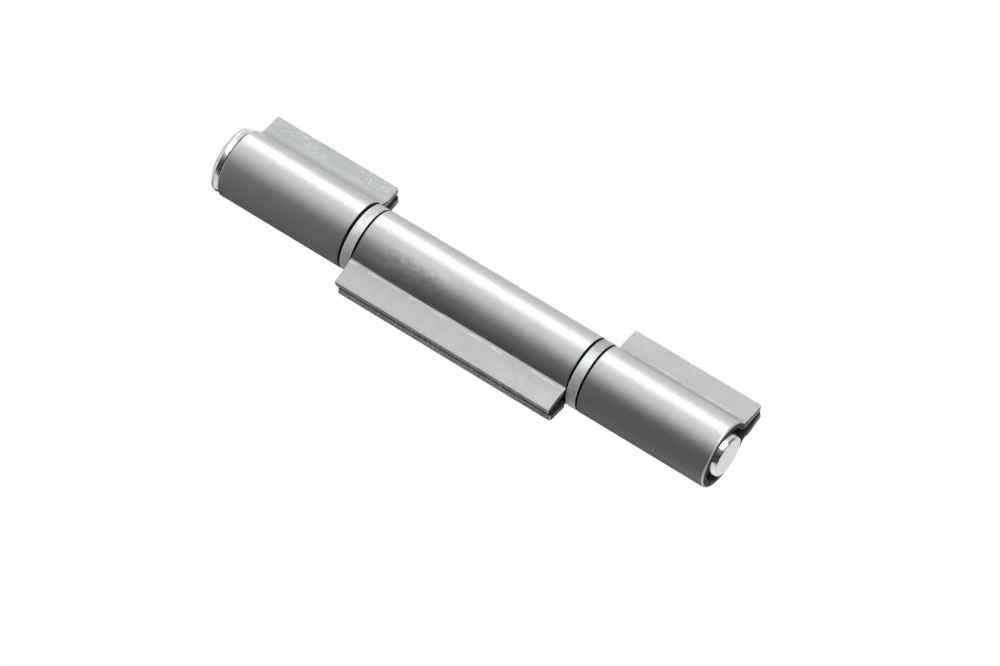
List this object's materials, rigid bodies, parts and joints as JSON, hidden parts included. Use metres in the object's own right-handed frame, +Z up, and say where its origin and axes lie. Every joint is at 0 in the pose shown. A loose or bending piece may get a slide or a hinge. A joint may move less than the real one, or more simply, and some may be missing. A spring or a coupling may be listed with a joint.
{
  "type": "weld-on hinge",
  "caption": "Weld-on hinge: folded steel knuckles with doubled weld leaves turn on a headed zinc-plated pin, parted by thick washers.",
  "frame": {"origin": "on the pin's axis, halfway up the hinge from the pin's tail to the top of its head", "axes": "+Z up along the pin to its head, as the hinge is hung; +X towards the end knuckles' leaves; -Y is the side of the leaves that the picture shows, with the hinge opened flat"},
  "size_m": [0.0343, 0.02, 0.1622],
  "materials": {
    "bare_steel": "bare mill-finish sheet steel, satin, faintly mottled and scuffed",
    "zinc_plate": "bright bluish zinc plating on turned steel"
  },
  "bodies": {
    "lower_knuckle": {"lower_knuckle": "bare_steel"},
    "centre_knuckle": {"centre_knuckle": "bare_steel"},
    "upper_knuckle": {"upper_knuckle": "bare_steel"},
    "upper_washer": {"upper_washer": "zinc_plate"},
    "lower_washer": {"lower_washer": "zinc_plate"},
    "hinge_pin": {"hinge_pin": "zinc_plate"}
  },
  "joints": [
    {"name": "centre_knuckle_swing", "type": "hinge", "parent": "lower_knuckle", "child": "centre_knuckle", "pos_m": [0, 0, 0], "axis": [0, 0, 1], "continuous": true},
    {"name": "upper_knuckle_swing", "type": "hinge", "parent": "lower_knuckle", "child": "upper_knuckle", "pos_m": [0, 0, 0], "axis": [0, 0, 1], "continuous": true},
    {"name": "upper_washer_spin", "type": "hinge", "parent": "lower_knuckle", "child": "upper_washer", "pos_m": [0, 0, 0], "axis": [0, 0, 1], "continuous": true},
    {"name": "lower_washer_spin", "type": "hinge", "parent": "lower_knuckle", "child": "lower_washer", "pos_m": [0, 0, 0], "axis": [0, 0, 1], "continuous": true},
    {"name": "pin_lift", "type": "slide", "parent": "lower_knuckle", "child": "hinge_pin", "axis": [0, 0, 1], "range_m": [0, 0.16]}
  ]
}
